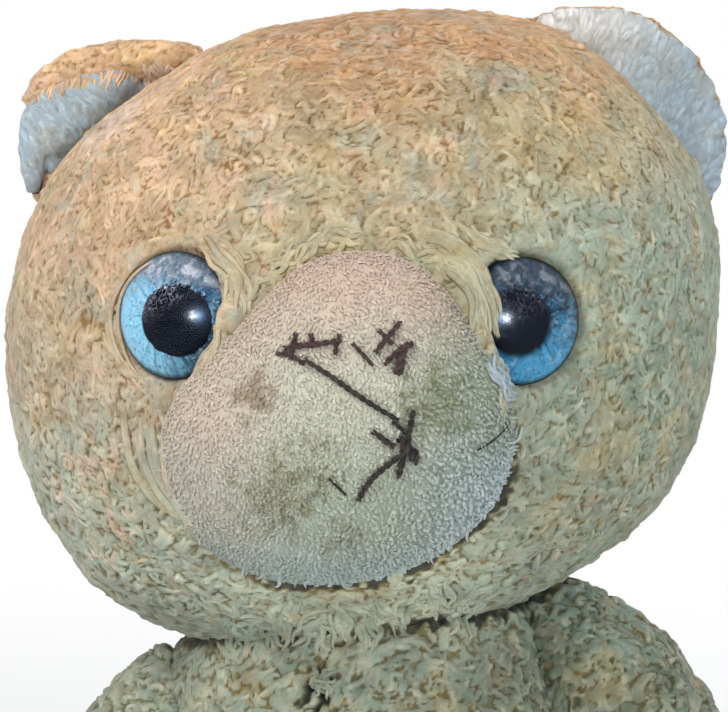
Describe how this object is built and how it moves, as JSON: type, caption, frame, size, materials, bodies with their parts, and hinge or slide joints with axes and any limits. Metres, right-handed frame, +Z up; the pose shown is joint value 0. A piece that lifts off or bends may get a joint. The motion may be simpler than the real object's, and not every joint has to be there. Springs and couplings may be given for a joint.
{
  "type": "threadbare teddy bear",
  "caption": "Worn stuffed toy bear sitting upright, with matted stained pile, a looped muzzle, domed blue eyes and the loose remains of a sewn nose.",
  "frame": {"origin": "centre of the flat under the seat", "axes": "+Z up, the bear faces -Y, and its own left is +X"},
  "size_m": [0.1393, 0.1631, 0.2098],
  "materials": {
    "pile": "matted, clumped and stained pile",
    "velour": "short looped cloth, stained",
    "ear_lining": "short brushed cloth, faded",
    "stuffing": "loose fibre",
    "clear_plastic": "clear, polished, scuffed",
    "blue_paint": "painted iris behind the dome",
    "black_plastic": "polished black",
    "washer_plastic": "moulded",
    "thread": "twisted, fuzzy thread"
  },
  "bodies": {
    "root": {"head_face_panel": "pile", "head_back_panel": "pile", "muzzle_panel": "velour", "head_stuffing": "stuffing", "ear_left_back": "pile", "ear_left_lining": "ear_lining", "ear_right_back": "pile", "ear_right_lining": "ear_lining", "body_front_panel": "pile", "body_back_panel": "pile", "body_stuffing": "stuffing", "eye_left_back": "blue_paint", "eye_left_pupil": "black_plastic", "eye_left_dome": "clear_plastic", "eye_left_washer": "washer_plastic", "arm_left_cover": "pile", "arm_left_stuffing": "stuffing", "leg_left_cover": "pile", "leg_left_stuffing": "stuffing", "leg_left_sole": "velour", "eye_right_back": "blue_paint", "eye_right_pupil": "black_plastic", "eye_right_dome": "clear_plastic", "eye_right_washer": "washer_plastic", "arm_right_cover": "pile", "arm_right_stuffing": "stuffing", "leg_right_cover": "pile", "leg_right_stuffing": "stuffing", "leg_right_sole": "velour", "nose_long_stitch": "thread", "nose_upper_stitch": "thread", "nose_bridge_stitch": "thread", "nose_cross_stitch": "thread", "nose_side_stitch": "thread", "nose_tip_stitch": "thread", "nose_lower_stitch": "thread", "mouth_stitch": "thread"}
  },
  "joints": []
}
